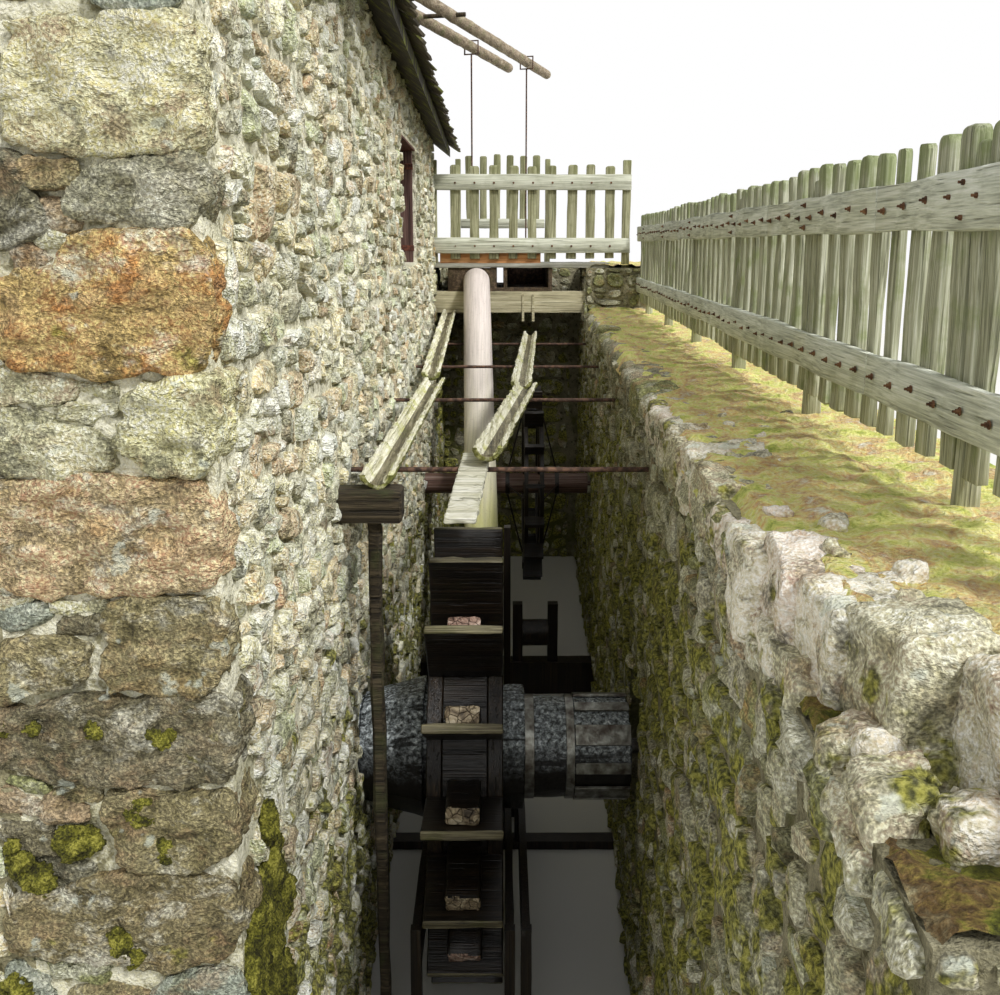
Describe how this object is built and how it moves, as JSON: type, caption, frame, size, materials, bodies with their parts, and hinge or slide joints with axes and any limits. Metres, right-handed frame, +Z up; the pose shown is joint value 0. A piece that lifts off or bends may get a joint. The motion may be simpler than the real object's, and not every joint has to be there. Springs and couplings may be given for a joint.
{
  "type": "water mill with race, paddle wheels and dam",
  "caption": "Stone water mill on a walled race, with timber paddle wheels, a pipe, log gutters, a small dam with a footbridge, gate levers and picket fences.",
  "frame": {"origin": "foot of the race wall, on the wall's centreline and under the near wheel's axle", "axes": "+X across the race from the mill to the retaining wall, +Y along the race to the dam, +Z up"},
  "size_m": [8.5632, 13.7357, 7.7208],
  "materials": {
    "rubble_masonry": "rough lime-bedded rubble",
    "mossy_masonry": "damp mossy rubble",
    "slate": "split slate with moss",
    "old_oak": "rough sawn and dark",
    "wet_oak": "wet and worn",
    "worn_oak": "wet end grain",
    "weathered_wood": "silver-grey and checked",
    "mossy_log": "rotten half log",
    "new_board": "fresh sawn",
    "pole_wood": "round pole",
    "shutter_wood": "stained planks",
    "rusty_iron": "rusted",
    "painted_steel_pipe": "faded and stained"
  },
  "bodies": {
    "root": {"race_wall": "rubble_masonry", "front_gable_wall": "rubble_masonry", "back_gable_wall": "rubble_masonry", "rear_wall": "rubble_masonry", "mill_floor": "old_oak", "roof_race_slope": "slate", "roof_rear_slope": "slate", "ridge_cap": "slate", "roof_timbers": "old_oak", "race_shutter": "shutter_wood", "other_shutters": "shutter_wood", "rear_door": "shutter_wood", "retaining_wall": "mossy_masonry", "dam_wall": "mossy_masonry", "left_abutment": "mossy_masonry", "bearing_piers": "mossy_masonry", "shaft_bearings": "old_oak", "cross_beam": "weathered_wood", "flume": "old_oak", "footbridge_deck": "weathered_wood", "edge_board": "new_board", "bridge_fence": "weathered_wood", "back_railing": "weathered_wood", "race_fence_1": "weathered_wood", "race_fence_2": "weathered_wood", "race_fence_3": "weathered_wood", "race_fence_4": "weathered_wood", "race_fence_5": "weathered_wood", "race_fence_6": "weathered_wood", "tie_rods": "rusty_iron", "penstock_pipe": "painted_steel_pipe", "right_gutters": "mossy_log", "left_gutters": "mossy_log", "gutter_plank": "mossy_log", "gutter_bracket": "old_oak", "race_timbers": "wet_oak", "lever_mast": "old_oak"},
    "near_wheel": {"near_shaft": "wet_oak", "near_shaft_irons": "rusty_iron", "near_rims": "wet_oak", "near_sole": "wet_oak", "near_starts": "worn_oak", "near_paddles": "wet_oak"},
    "far_wheel": {"far_shaft": "wet_oak", "far_rims": "wet_oak", "far_paddles": "wet_oak"},
    "first_lever": {"lever_a": "pole_wood"},
    "second_lever": {"lever_b": "pole_wood"},
    "first_gate": {"gate_a": "rusty_iron"},
    "second_gate": {"gate_b": "rusty_iron"}
  },
  "joints": [
    {"name": "near_wheel_spin", "type": "hinge", "parent": "root", "child": "near_wheel", "pos_m": [0.874, 0, 1.314], "axis": [1, 0, 0], "continuous": true},
    {"name": "far_wheel_spin", "type": "hinge", "parent": "root", "child": "far_wheel", "pos_m": [1.357, 5.065, 1.725], "axis": [1, 0, 0], "continuous": true},
    {"name": "first_lever_swing", "type": "hinge", "parent": "root", "child": "first_lever", "pos_m": [0.275, 5.635, 6.1], "axis": [0.9636, -0.2672, 0], "range_deg": [0, 8.3]},
    {"name": "second_lever_swing", "type": "hinge", "parent": "root", "child": "second_lever", "pos_m": [0.275, 5.635, 6.1], "axis": [0.9636, -0.2672, 0], "range_deg": [0, 4.9]},
    {"name": "first_gate_lift", "type": "slide", "parent": "root", "child": "first_gate", "axis": [0, 0, 1], "range_m": [0, 0.2509]},
    {"name": "second_gate_lift", "type": "slide", "parent": "root", "child": "second_gate", "axis": [0, 0, 1], "range_m": [0, 0.2482]}
  ],
  "couplings": [
    {"joint": "first_gate_lift", "follows": "first_lever_swing", "m_per_rad": 1.7313},
    {"joint": "second_gate_lift", "follows": "second_lever_swing", "m_per_rad": 2.9015}
  ]
}
